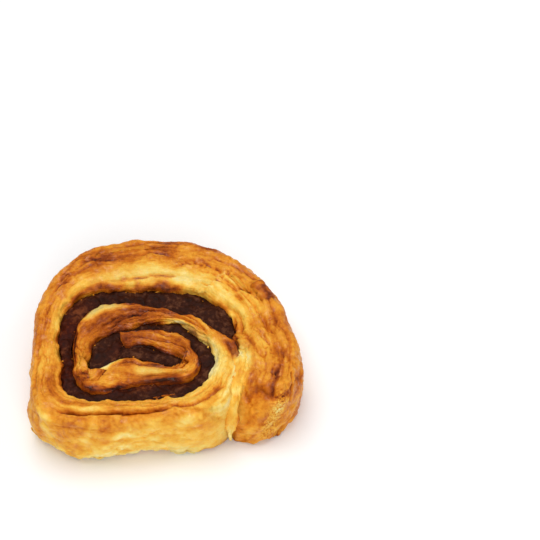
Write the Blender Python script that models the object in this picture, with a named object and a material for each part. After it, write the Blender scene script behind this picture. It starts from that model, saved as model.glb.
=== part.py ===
"""A laminated cinnamon roll, about 96 mm across, lying on its flat underside.

A strip of buttery layered dough is wound into an oval spiral, with a sheet of dark
cinnamon filling between its wraps. Dough and filling both run through the whole height.
The strip starts in a folded tongue at the middle, winds outwards clockwise as seen from
above, and its tail ends at the right of the front wall. Lengths are in metres, +Z is up,
-Y is the front, and the origin is under the middle of the roll's box.
"""

import math

import bmesh
import bpy
from mathutils import Vector, noise

MM = 0.001
TURN = 2 * math.pi

# The oval spiral: its half-lengths at the fold, and what they gain with each turn
ACROSS_START = 10.5 * MM
ACROSS_PITCH = 17.5 * MM
DEEP_START = 5.0 * MM
DEEP_PITCH = 17.2 * MM
RIGHT_SQUARENESS = 0.76  # under 1 the spiral's right side is squarer than an oval's
WOBBLE = 0.5 * MM
WOBBLE_RATE = 5.1  # per turn

# Local changes to the spiral: turns, amount outwards, spread in turns
SEAM_SWELLS = (
    (0.06, 3.0 * MM, 0.10),
    (0.52, -0.4 * MM, 0.08),
    (0.66, 3.4 * MM, 0.08),
    (0.74, -1.4 * MM, 0.08),
    (0.88, 3.6 * MM, 0.07),
    (1.00, -2.4 * MM, 0.07),
    (1.13, 3.0 * MM, 0.08),
    (1.37, -8.8 * MM, 0.14),
    (1.67, 2.8 * MM, 0.05),
    (1.76, -2.8 * MM, 0.06),
    (1.88, 4.6 * MM, 0.06),
    (2.03, -7.2 * MM, 0.11),
    (2.22, 9.0 * MM, 0.12),
    (2.55, 1.9 * MM, 0.05),
)

# The filling's start arm, inside the fold: how far it reaches right and sags to the front
ARM_REACH = 15.0 * MM
ARM_SAG = 11.5 * MM
ARM_SAG_OVER = (0.3, 1.1)  # shares of the arm's length
ARM_DEEP = 0.6 * MM

# The strip of dough and the sheet of filling, in turns of the spiral
DOUGH_START, DOUGH_END = 0.15625, 2.64
FILLING_START, FILLING_END = -0.485, 1.485
OUTSIDE_FROM, OUTSIDE_ALL = 1.655, 1.715  # where the strip comes out from under its tail
TAIL_FROM = 2.57  # where the tail starts to round off
TAIL_TIP = 0.12  # share of its width that the tail keeps at its very end
TAIL_DROP = 0.55  # share of its height that it loses there

# Filling: half its usual thickness, how its ends taper, and where it lies thick
FILLING_HALF = 1.7 * MM
FILLING_TAPER = 0.035
FILLING_SWELLS = (
    (-0.035, 7.6 * MM, 0.048),
    (0.06, 1.0 * MM, 0.04),
    (0.56, 3.4 * MM, 0.075),
    (0.74, 3.6 * MM, 0.10),
    (0.90, 2.2 * MM, 0.035),
    (1.16, 2.4 * MM, 0.05),
    (1.37, 7.0 * MM, 0.11),
)
# How much further its inner side lies, towards the middle
FILLING_INNER_SWELLS = (
    (-0.32, 1.9 * MM, 0.14),
    (0.00, 2.6 * MM, 0.07),
    (0.15, -1.8 * MM, 0.05),
    (0.60, -2.2 * MM, 0.07),
    (0.85, -1.4 * MM, 0.05),
    (1.09, 2.4 * MM, 0.05),
    (1.32, 1.1 * MM, 0.09),
)
FILLING_SINK = 1.6 * MM
FILLING_FOOT = 0.85 * MM
FILLING_BULGE = 0.7 * MM
THINNEST = 0.5 * MM
GAP = 0.35 * MM  # between the dough and the filling
END_GAP = 0.6 * MM  # between the filling and the end of the dough's tongue

# Heights of the cut face, and how far each wrap domes above it
FACE_HEIGHT = 20.0 * MM
BACK_RISE = 4.6 * MM
RISE_FROM, RISE_TO = 4 * MM, 44 * MM
RIGHT_RISE = 1.6 * MM
DOME = 2.3 * MM
DOME_SQUARENESS = 3.6
UNEVEN = 0.8 * MM
UNEVEN_SCALE = 45  # per metre

# The outer wall: rounded shoulder, fullest height, and how far it draws in at its foot
SHOULDER = 7.0 * MM
FOOT_DRAW = 3.6 * MM
MOST_SHOULDER, MOST_FOOT = 0.45, 0.30  # most that each takes of the strip's width
EDGE_ROUND = 0.8 * MM
FULLEST = 0.42  # share of the height
WALL_ACROSS, WALL_UP = 0.6, 0.8  # powers that make the wall's rounding squarer than a circle's

# Creases between the main layers of the dough: share across the strip, depth, width
CREASES = ((0.36, 0.8 * MM, 0.09), (0.68, 1.0 * MM, 0.09))
CREASE_DRIFT = 0.07

# How finely the solids are faceted
STEPS_PER_TURN = 64
TOP_POINTS = 12
WALL_POINTS = 5
FILLING_TOP_POINTS = 5
PROBE = 0.002  # turns, for the seam's direction
FOLD_TURNS = 0.016  # half the turns in which the strip passes the tip of the start arm
TIP_SHARE = 0.3  # of the filling's half thickness, where the strip passes that tip


def bell(offset, spread):
    return math.exp(-((offset / spread) ** 2))


def smooth(low, high, value):
    share = min(max((value - low) / (high - low), 0.0), 1.0)
    return share * share * (3 - 2 * share)


def swelling(swells, turns):
    return sum(amount * bell(turns - at, spread) for at, amount, spread in swells)


def seam(turns):
    """Plan point of the seam between two wraps, wound clockwise from the left."""
    grown = swelling(SEAM_SWELLS, turns)
    grown += WOBBLE * noise.noise(Vector((WOBBLE_RATE * turns, 2.3, 0)))
    left, up = math.cos(TURN * turns), math.sin(TURN * turns)
    if turns < 0:
        along = -2 * turns
        across = ACROSS_START + grown + (ARM_REACH - ACROSS_START) * along
        deep = ARM_DEEP * (1 - along)
        return Vector((-across * left, deep * up - ARM_SAG * smooth(*ARM_SAG_OVER, along)))
    if left < 0:
        left = -(abs(left) ** RIGHT_SQUARENESS)
    across = ACROSS_START + ACROSS_PITCH * turns + grown
    deep = DEEP_START + DEEP_PITCH * turns + grown
    return Vector((-across * left, deep * up))


def outwards(turns):
    """Unit vector in plan that points away from the spiral's middle, square to the seam."""
    along = seam(turns + PROBE) - seam(turns - PROBE)
    return Vector((-along.y, along.x)).normalized()


def taper(turns):
    """1 along the filling, and 0 past its two ends."""
    into = min(turns - FILLING_START, FILLING_END - turns)
    return math.sqrt(min(max(into / FILLING_TAPER, 0.0), 1.0))


def filling_inside(turns):
    return (FILLING_HALF + swelling(FILLING_INNER_SWELLS, turns)) * taper(turns)


def filling_outside(turns):
    return (FILLING_HALF + swelling(FILLING_SWELLS, turns)) * taper(turns)


def filling_inner(turns):
    """Plan point of the filling's inner side, which passes across the end of the dough's tongue."""
    if abs(turns) >= DOUGH_START:
        return seam(turns) - outwards(turns) * filling_inside(turns)
    before = seam(-DOUGH_START) - outwards(-DOUGH_START) * filling_inside(-DOUGH_START)
    after = seam(DOUGH_START) - outwards(DOUGH_START) * filling_inside(DOUGH_START)
    share = (turns / DOUGH_START + 1) / 2
    across = after - before
    away = Vector((-across.y, across.x)).normalized()
    return before + across * share + away * END_GAP * math.sqrt(1 - (2 * share - 1) ** 2)


def dough_inner(turns):
    """Plan point of the strip's inner side: round the fold's tip, then along the wrap inside."""
    past_fold = (turns - 0.5) / FOLD_TURNS
    if past_fold <= -1:
        return seam(-turns) - outwards(-turns) * (filling_inside(-turns) + GAP)
    if past_fold >= 1:
        behind = turns - 1
        return seam(behind) + outwards(behind) * (filling_outside(behind) + GAP)
    side = outwards(FILLING_START)
    ahead = Vector((-side.y, side.x))
    reach = GAP + FILLING_HALF * TIP_SHARE
    angle = past_fold * math.pi / 2
    return seam(FILLING_START) + reach * (side * math.sin(angle) + ahead * math.cos(angle))


def dough_outer(turns):
    """Plan point of the strip's outer side: against the filling, the tail, or the fullest wall."""
    inside = (1 - outside(turns)) * (filling_inside(turns) + GAP)
    wall = seam(turns) - outwards(turns) * inside
    ending = min(max((turns - TAIL_FROM) / (DOUGH_END - TAIL_FROM), 0.0), 1.0)
    left = TAIL_TIP + (1 - TAIL_TIP) * math.sqrt(1 - ending**2)
    inner = dough_inner(turns)
    return inner + (wall - inner) * left


def outside(turns):
    """0 where the strip lies between other wraps, 1 where its outer side is the roll's wall."""
    return smooth(OUTSIDE_FROM, OUTSIDE_ALL, turns)


def face_height(spot):
    back = BACK_RISE * smooth(RISE_FROM, RISE_TO, spot.y)
    right = RIGHT_RISE * smooth(RISE_FROM, RISE_TO, spot.x)
    uneven = UNEVEN * noise.noise(Vector((spot.x, spot.y, 0)) * UNEVEN_SCALE + Vector((0, 0, 0.135)))
    return FACE_HEIGHT + back + right + uneven


def dough_section(turns):
    """The strip's closed outline at one place, from the foot of its inner side, outwards."""
    inner, outer = dough_inner(turns), dough_outer(turns)
    width = (outer - inner).length
    free = outside(turns)
    ending = smooth(TAIL_FROM, DOUGH_END, turns)
    shoulder = EDGE_ROUND + (min(SHOULDER, MOST_SHOULDER * width) - EDGE_ROUND) * free
    foot = EDGE_ROUND + (min(FOOT_DRAW, MOST_FOOT * width) - EDGE_ROUND) * free

    def place(share, height):
        spot = inner.lerp(outer, share)
        return Vector((spot.x, spot.y, height))

    def top(share):
        """Height of the strip's top at a share of the way across."""
        across = 2 * share - 1
        edge = abs(across) ** DOME_SQUARENESS * (1 if across < 0 else 1 - free)
        creased = 0.0
        for at, depth, spread in CREASES:
            drift = CREASE_DRIFT * noise.noise(Vector((9 * turns, 7 * at, 1.7)))
            creased += depth * bell(share - at - drift, spread)
        height = face_height(inner.lerp(outer, share)) + DOME * (1 - edge) - creased
        return height * (1 - TAIL_DROP * ending**2)

    ridge = 1 - shoulder / width
    ridge_height = top(ridge)
    middle = FULLEST * ridge_height
    points = [place(EDGE_ROUND / width, 0), place(0.5, 0)]
    for step in range(WALL_POINTS):
        angle = math.pi / 2 * (1 - step / WALL_POINTS)
        inset = foot * (1 - math.cos(angle) ** WALL_ACROSS)
        points.append(place(1 - inset / width, middle * (1 - math.sin(angle) ** WALL_UP)))
    for step in range(WALL_POINTS):
        angle = math.pi / 2 * step / WALL_POINTS
        inset = shoulder * (1 - math.cos(angle) ** WALL_ACROSS)
        height = middle + (ridge_height - middle) * math.sin(angle) ** WALL_UP
        points.append(place(1 - inset / width, height))
    for step in range(TOP_POINTS):
        share = ridge * (1 - step / (TOP_POINTS - 1))
        points.append(place(share, top(share)))
    points.append(place(0, EDGE_ROUND))
    return points


def filling_section(turns):
    """The filling's closed outline at one place, from the foot of its inner side, outwards."""
    side = outwards(turns)
    inner = filling_inner(turns)
    outer = seam(turns) + side * filling_outside(turns)
    if (outer - inner).length < THINNEST:
        inner = seam(turns) - side * THINNEST / 2
        outer = seam(turns) + side * THINNEST / 2

    def place(share, height):
        spot = inner.lerp(outer, share)
        return Vector((spot.x, spot.y, height))

    level = face_height(seam(turns)) - FILLING_SINK
    points = [place(0, FILLING_FOOT), place(1, FILLING_FOOT)]
    for step in range(FILLING_TOP_POINTS):
        share = 1 - step / (FILLING_TOP_POINTS - 1)
        points.append(place(share, level + FILLING_BULGE * (1 - (2 * share - 1) ** 2)))
    return points


def stations(first, last):
    """Places along the spiral from first to last, closer together round the end of the tail."""
    halves = range(round(2 * STEPS_PER_TURN * first), round(2 * STEPS_PER_TURN * last) + 1)
    places = [(half, half / (2 * STEPS_PER_TURN)) for half in halves]
    return [turns for half, turns in places if half % 2 == 0 or turns > TAIL_FROM]


def strip(name, section, places, material):
    """One closed solid through a section at each place, with a flat cap at both ends."""
    mesh = bmesh.new()
    rings = [[mesh.verts.new(point) for point in section(turns)] for turns in places]
    for near, far in zip(rings, rings[1:]):
        for i in range(len(near)):
            mesh.faces.new((near[i - 1], near[i], far[i], far[i - 1]))
    mesh.faces.new(reversed(rings[0]))
    mesh.faces.new(rings[-1])
    bmesh.ops.recalc_face_normals(mesh, faces=mesh.faces)
    data = bpy.data.meshes.new(name)
    mesh.to_mesh(data)
    mesh.free()
    data.shade_smooth()
    data.materials.append(material)
    made = bpy.data.objects.new(name, data)
    bpy.context.scene.collection.objects.link(made)
    return made


def finish(name, colour, roughness):
    material = bpy.data.materials.new(name)
    material.use_nodes = True
    shader = material.node_tree.nodes["Principled BSDF"]
    shader.inputs["Base Color"].default_value = (*colour, 1)
    shader.inputs["Roughness"].default_value = roughness
    shader.inputs["Metallic"].default_value = 0
    return material


def centre(pieces):
    """Puts the origin under the middle of the pieces' box."""
    corners = [vertex.co for piece in pieces for vertex in piece.data.vertices]
    low = Vector([min(corner[axis] for corner in corners) for axis in range(3)])
    high = Vector([max(corner[axis] for corner in corners) for axis in range(3)])
    for piece in pieces:
        for vertex in piece.data.vertices:
            vertex.co -= Vector(((low.x + high.x) / 2, (low.y + high.y) / 2, low.z))


def main():
    for old in list(bpy.data.objects):
        bpy.data.objects.remove(old)
    crust = finish("baked_dough", (0.72, 0.36, 0.09), 0.55)
    paste = finish("cinnamon_filling", (0.06, 0.03, 0.02), 0.6)

    dough = strip("dough", dough_section, stations(DOUGH_START, DOUGH_END), crust)
    filling = strip("filling", filling_section, stations(FILLING_START, FILLING_END), paste)
    centre([dough, filling])


main()
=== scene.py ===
"""The looks of a laminated cinnamon roll, lying flat on a pale table."""
import math
import random

import bmesh
import bpy
import numpy as np
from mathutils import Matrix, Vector, noise


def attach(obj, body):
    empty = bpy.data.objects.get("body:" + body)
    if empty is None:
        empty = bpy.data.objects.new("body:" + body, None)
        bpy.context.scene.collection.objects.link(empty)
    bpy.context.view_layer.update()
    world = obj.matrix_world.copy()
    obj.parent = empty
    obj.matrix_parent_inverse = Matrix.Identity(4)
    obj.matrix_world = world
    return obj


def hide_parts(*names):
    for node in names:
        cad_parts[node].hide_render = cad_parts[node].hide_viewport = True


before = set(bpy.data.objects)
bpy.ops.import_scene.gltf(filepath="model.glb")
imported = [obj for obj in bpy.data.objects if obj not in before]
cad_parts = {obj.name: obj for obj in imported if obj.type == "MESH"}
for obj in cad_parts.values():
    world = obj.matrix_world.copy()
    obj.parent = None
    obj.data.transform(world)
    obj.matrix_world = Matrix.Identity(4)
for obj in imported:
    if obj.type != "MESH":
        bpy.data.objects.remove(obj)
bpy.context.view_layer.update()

# The dough: one strip of buttery layered dough, rolled up clockwise with its filling from a
# tongue at the middle, cut across and baked lying on the cut. Its top shows the browned edges
# of the layers, and its outermost side, which ends at the front's right, is blistered skin.
MM = 0.001
TURN = 2 * math.pi
SPIRAL_AT = (-8.09 * MM, -9.42 * MM)  # the spiral's middle, in the roll's frame

ACROSS_START, ACROSS_PITCH = 10.5 * MM, 17.5 * MM
DEEP_START, DEEP_PITCH = 5.0 * MM, 17.2 * MM
RIGHT_SQUARENESS = 0.76
WOBBLE, WOBBLE_RATE, WOBBLE_SEED = 0.5 * MM, 5.1, 2.3
SEAM_SWELLS = (  # turns, amount outwards, spread in turns
    (0.06, 3.0 * MM, 0.10),
    (0.52, -0.4 * MM, 0.08),
    (0.66, 3.4 * MM, 0.08),
    (0.74, -1.4 * MM, 0.08),
    (0.88, 3.6 * MM, 0.07),
    (1.00, -2.4 * MM, 0.07),
    (1.13, 3.0 * MM, 0.08),
    (1.37, -8.8 * MM, 0.14),
    (1.67, 2.8 * MM, 0.05),
    (1.76, -2.8 * MM, 0.06),
    (1.88, 4.6 * MM, 0.06),
    (2.03, -7.2 * MM, 0.11),
    (2.22, 9.0 * MM, 0.12),
    (2.55, 1.9 * MM, 0.05),
)
ARM_REACH, ARM_SAG, ARM_SAG_OVER, ARM_DEEP = 15.0 * MM, 11.5 * MM, (0.3, 1.1), 0.6 * MM
DOUGH_START, DOUGH_END = 0.15625, 2.64
FILLING_START, FILLING_END = -0.485, 1.485
OUTSIDE_FROM, OUTSIDE_ALL = 1.655, 1.715
TAIL_FROM, TAIL_TIP, TAIL_DROP = 2.57, 0.12, 0.55
FILLING_HALF, FILLING_TAPER = 1.7 * MM, 0.035
FILLING_SWELLS = (  # turns, how much thicker on its outer side, spread in turns
    (-0.035, 7.6 * MM, 0.048),
    (0.06, 1.0 * MM, 0.04),
    (0.56, 3.4 * MM, 0.075),
    (0.74, 3.6 * MM, 0.10),
    (0.90, 2.2 * MM, 0.035),
    (1.16, 2.4 * MM, 0.05),
    (1.37, 7.0 * MM, 0.11),
)
FILLING_INNER_SWELLS = (  # the same for its inner side
    (-0.32, 1.9 * MM, 0.14),
    (0.00, 2.6 * MM, 0.07),
    (0.15, -1.8 * MM, 0.05),
    (0.60, -2.2 * MM, 0.07),
    (0.85, -1.4 * MM, 0.05),
    (1.09, 2.4 * MM, 0.05),
    (1.32, 1.1 * MM, 0.09),
)
FACE_HEIGHT, BACK_RISE, RIGHT_RISE = 20.0 * MM, 4.6 * MM, 1.6 * MM
RISE_FROM, RISE_TO = 4 * MM, 44 * MM
DOME, DOME_SQUARENESS = 2.3 * MM, 3.6
UNEVEN, UNEVEN_SCALE, UNEVEN_SEED = 0.8 * MM, 45, 0.135
SHOULDER, FOOT_DRAW = 7.0 * MM, 3.6 * MM
MOST_SHOULDER, MOST_FOOT = 0.45, 0.30  # shares of the strip's width
NARROWEST, EDGE_ROUND = 1.2 * MM, 0.8 * MM
FULLEST, WALL_ACROSS, WALL_UP = 0.42, 0.6, 0.8
FOLD_TURNS, FOLD_REACH = 0.016, 0.3 * MM
DOUGH_GAP = 0.1 * MM  # between the dough's hidden sides and the seam with the filling
PROBE = 0.002  # turns on each side of a place, to find the strip's direction there


def bell(offset, spread):
    """1 where the offset is 0, falling to 0 beside it."""
    return math.exp(-((offset / spread) ** 2))


def smooth(low, high, value):
    """0 up to low and 1 from high on, with a soft rise between them."""
    share = min(max((value - low) / (high - low), 0.0), 1.0)
    return share * share * (3 - 2 * share)


def swelling(swells, turns):
    return sum(amount * bell(turns - at, spread) for at, amount, spread in swells)


def seam(turns):
    """Plan point of the seam between two wraps, wound clockwise from the left."""
    grown = swelling(SEAM_SWELLS, turns)
    grown += WOBBLE * noise.noise(Vector((WOBBLE_RATE * turns, WOBBLE_SEED, 0)))
    left, up = math.cos(TURN * turns), math.sin(TURN * turns)
    if turns < 0:
        along = -2 * turns
        across = ACROSS_START + grown + (ARM_REACH - ACROSS_START) * along
        deep = ARM_DEEP * (1 - along)
        return Vector((-across * left, deep * up - ARM_SAG * smooth(*ARM_SAG_OVER, along)))
    if left < 0:
        left = -(abs(left) ** RIGHT_SQUARENESS)
    across = ACROSS_START + ACROSS_PITCH * turns + grown
    deep = DEEP_START + DEEP_PITCH * turns + grown
    return Vector((-across * left, deep * up))


def outwards(turns):
    """Direction square to the seam, away from the spiral's middle."""
    along = seam(turns + PROBE) - seam(turns - PROBE)
    return Vector((-along.y, along.x)).normalized()


def taper(turns):
    """How full the filling is, from 0 at its two ends to 1."""
    into = min(turns - FILLING_START, FILLING_END - turns)
    return math.sqrt(min(max(into / FILLING_TAPER, 0.0), 1.0))


def filling_inside(turns):
    return (FILLING_HALF + swelling(FILLING_INNER_SWELLS, turns)) * taper(turns)


def filling_outside(turns):
    return (FILLING_HALF + swelling(FILLING_SWELLS, turns)) * taper(turns)


def dough_inner(turns):
    past_fold = (turns - 0.5) / FOLD_TURNS
    if past_fold <= -1:
        return seam(-turns) - outwards(-turns) * (filling_inside(-turns) + DOUGH_GAP)
    if past_fold >= 1:
        behind = turns - 1
        return seam(behind) + outwards(behind) * (filling_outside(behind) + DOUGH_GAP)
    # Between the two it folds round the end of the filling, which makes the tongue
    side = outwards(FILLING_START)
    ahead = Vector((-side.y, side.x))
    angle = past_fold * math.pi / 2
    reach = DOUGH_GAP + FOLD_REACH
    return seam(FILLING_START) + reach * (side * math.sin(angle) + ahead * math.cos(angle))


def outside(turns):
    """0 where the strip lies between other wraps, 1 where its outer side is the roll's skin."""
    return smooth(OUTSIDE_FROM, OUTSIDE_ALL, turns)


def dough_outer(turns):
    inside = (1 - outside(turns)) * (filling_inside(turns) + DOUGH_GAP)
    wall = seam(turns) - outwards(turns) * inside
    ending = min(max((turns - TAIL_FROM) / (DOUGH_END - TAIL_FROM), 0.0), 1.0)
    left = TAIL_TIP + (1 - TAIL_TIP) * math.sqrt(1 - ending**2)
    inner = dough_inner(turns)
    return inner + (wall - inner) * left


def face_height(spot):
    """Height of the roll's top over a spot in plan, before the strip's own dome is added."""
    back = BACK_RISE * smooth(RISE_FROM, RISE_TO, spot.y)
    right = RIGHT_RISE * smooth(RISE_FROM, RISE_TO, spot.x)
    lumps = noise.noise(Vector((spot.x, spot.y, 0)) * UNEVEN_SCALE + Vector((0, 0, UNEVEN_SEED)))
    return FACE_HEIGHT + back + right + UNEVEN * lumps


# How finely the strip is meshed, how finely each stretch of a section is drawn first, and how
# much of the mesh goes to the stretches that are hardly seen, next to 1 for the top
ALONG, ROUND = 1080, 88
DENSE_WALL, DENSE_TOP, DENSE_SIDE, DENSE_BOTTOM = 70, 90, 12, 8
WALL_WEIGHT, FOOT_WEIGHT, SIDE_WEIGHT, CORNER_WEIGHT, UNDER_WEIGHT = 0.12, 0.25, 0.3, 0.2, 0.1
WALK_STEPS = 6000

# Places on the strip are given in turns and by "lane": 0 at the top's inner edge, 1 at its
# outer edge, and on the outer skin from 1 at the shoulder to 2 at the foot. What lies hidden
# has lanes of its own, below 0 on the inner side and the underside and above 2 beyond the foot.
UNDER_FOOT_LANE, SIDE_LANES, CORNER_LANE, UNDER_LANES = 2.3, (-0.05, -0.8), -0.9, (-1, -1.3)
CREASES = (  # depth and half width in mm, darkening (browning and painted shade), places as (turns, lane)
    (2.6, 0.9, 0.34, ((1.88, 1.02), (1.845, 1.01), (1.80, 1.01), (1.76, 1.04), (1.738, 1.02),
        (1.716, 0.95))),
    (1.0, 0.9, 0.26, ((1.722, 0.97), (1.693, 0.84), (1.677, 0.66), (1.665, 0.62), (1.647, 0.56),
        (1.630, 0.60))),
    (0.6, 0.6, 0.14, ((1.712, 1.0), (1.693, 1.06), (1.683, 1.19), (1.663, 1.30))),
    (0.6, 0.5, 0.09, ((1.92, 0.50), (1.86, 0.42), (1.80, 0.50), (1.74, 0.42), (1.68, 0.55))),
    (0.6, 0.5, 0.11, ((2.12, 0.62), (2.171, 0.80), (2.226, 0.76), (2.251, 0.81), (2.301, 0.72),
        (2.333, 0.74), (2.368, 0.68), (2.402, 0.59))),
    (0.5, 0.4, 0.11, ((2.14, 0.90), (2.211, 0.90), (2.26, 0.97), (2.30, 1.0), (2.35, 1.0))),
    (0.8, 0.5, 0.16, ((2.368, 0.77), (2.40, 0.74), (2.428, 0.83), (2.452, 0.96))),
    (0.9, 0.5, 0.14, ((2.444, 0.54), (2.472, 0.74), (2.501, 0.91), (2.53, 0.96), (2.558, 1.0),
        (2.583, 1.04), (2.592, 1.14))),
    (0.9, 0.5, 0.16, ((2.46, 0.42), (2.498, 0.58), (2.518, 0.71), (2.552, 0.82))),
    (0.9, 0.9, 0.27, ((2.556, 0.85), (2.565, 0.87), (2.589, 1.0), (2.600, 1.10), (2.606, 1.18))),
    (0.8, 0.7, 0.27, ((2.556, 1.08), (2.562, 1.13), (2.574, 1.26), (2.582, 1.35), (2.586, 1.42))),
    (0.6, 0.9, 0.27, ((2.602, 1.10), (2.594, 1.20), (2.582, 1.32))),
    (1.1, 0.8, 0.18, ((2.43, 0.08), (2.469, 0.17), (2.508, 0.25), (2.532, 0.37), (2.551, 0.57))),
    (0.9, 0.6, 0.14, ((2.38, 0.56), (2.417, 0.66), (2.457, 0.68), (2.487, 0.82), (2.511, 0.79))),
    (0.9, 0.8, 0.14, ((2.60, 0.15), (2.612, 0.50), (2.604, 0.80), (2.60, 1.03), (2.592, 1.16))),
    (0.5, 0.6, 0.08, ((2.11, 0.40), (2.063, 0.58), (2.014, 0.80), (1.952, 0.71))),
    (0.8, 0.7, 0.10, ((2.06, 0.95), (1.998, 1.09), (1.948, 1.10), (1.906, 1.08))),
    (0.6, 0.6, 0.09, ((1.02, 0.75), (1.077, 0.45), (1.133, 0.53), (1.184, 0.67), (1.235, 0.68),
        (1.296, 0.61), (1.39, 0.38), (1.461, 0.40), (1.502, 0.55))),
    (0.5, 0.5, 0.07, ((1.10, 0.12), (1.133, 0.30), (1.197, 0.33), (1.272, 0.26), (1.344, 0.14))),
    (0.7, 0.4, 0.20, ((1.025, 0.98), (1.02, 0.34))),
    (0.7, 0.6, 0.10, ((0.88, 0.75), (0.868, 0.65), (0.85, 0.35), (0.769, 0.20), (0.67, 0.12))),
    (0.9, 0.7, 0.10, ((0.86, 0.90), (0.814, 0.79), (0.769, 0.74), (0.727, 0.85), (0.681, 0.90),
        (0.60, 0.75))),
    (0.8, 0.6, 0.08, ((0.62, 0.40), (0.55, 0.50), (0.47, 0.45), (0.38, 0.50))),
    (0.6, 0.5, 0.08, ((0.17, 0.50), (0.277, 0.40), (0.42, 0.60))),
    (0.5, 0.5, 0.05, ((0.19, 0.80), (0.274, 0.79), (0.40, 0.85))),
    (0.9, 0.5, 0.44, ((2.202, 0.16), (2.222, 0.20), (2.238, 0.18), (2.254, 0.20), (2.270, 0.24),
        (2.288, 0.23), (2.306, 0.26))),
    (0.9, 0.8, 0.08, ((1.70, 1.05), (1.682, 1.26), (1.655, 1.42))),
    (0.7, 0.5, 0.10, ((1.96, 0.22), (1.88, 0.20), (1.80, 0.24), (1.72, 0.20), (1.64, 0.28),
        (1.58, 0.30))),
    (0.4, 0.5, 0.10, ((2.13, 0.80), (2.08, 0.78), (2.02, 0.90), (1.96, 0.92))),
    (0.4, 0.4, 0.12, ((2.08, 0.95), (2.14, 0.98), (2.20, 1.04), (2.26, 1.06), (2.33, 1.08))),
    (0.7, 0.5, 0.12, ((2.36, 0.40), (2.42, 0.42), (2.46, 0.50), (2.50, 0.66), (2.53, 0.70))),
    (0.8, 0.5, 0.14, ((2.40, 0.90), (2.46, 1.04), (2.52, 1.08), (2.58, 1.12))),
    (0.7, 0.8, 0.40, ((1.475, 1.0), (1.500, 1.0), (1.520, 1.0), (1.540, 0.99))),
    (0.7, 0.8, 0.30, ((2.475, 0.02), (2.500, 0.02), (2.520, 0.02))),
)
BULGES = (  # turns, lane, amount, reach in turns, reach in lanes
    (1.914, 1.52, 1.5 * MM, 0.026, 0.26),
    (1.880, 1.75, -1.2 * MM, 0.030, 0.35),
    (0.950, 0.06, -1.0 * MM, 0.07, 0.20),
    (1.78, 1.90, -1.3 * MM, 0.14, 0.30),
    (2.62, 1.70, -1.2 * MM, 0.05, 0.45),
    (2.60, 1.00, -0.8 * MM, 0.05, 0.60),
    (2.43, 1.04, 1.4 * MM, 0.02, 0.10),
    (1.79, 1.26, 0.9 * MM, 0.10, 0.16),
    (1.54, 0.80, -1.2 * MM, 0.03, 0.16),
    (2.56, 0.25, 0.8 * MM, 0.04, 0.15),
    (2.25, 0.30, 0.5 * MM, 0.12, 0.20),
    (2.61, 1.20, 0.7 * MM, 0.03, 0.30),
)
LAYERED = (  # turns, lane, how much more the layers' edges stand out, reach in turns, in lanes
    (2.22, 0.85, 0.35, 0.22, 0.25),
    (2.28, 0.28, -0.40, 0.14, 0.22),
    (2.46, 0.50, 0.70, 0.13, 0.60),
    (1.22, 0.50, 0.05, 0.22, 0.60),
    (2.03, 0.50, -0.30, 0.12, 0.80),
)
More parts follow.
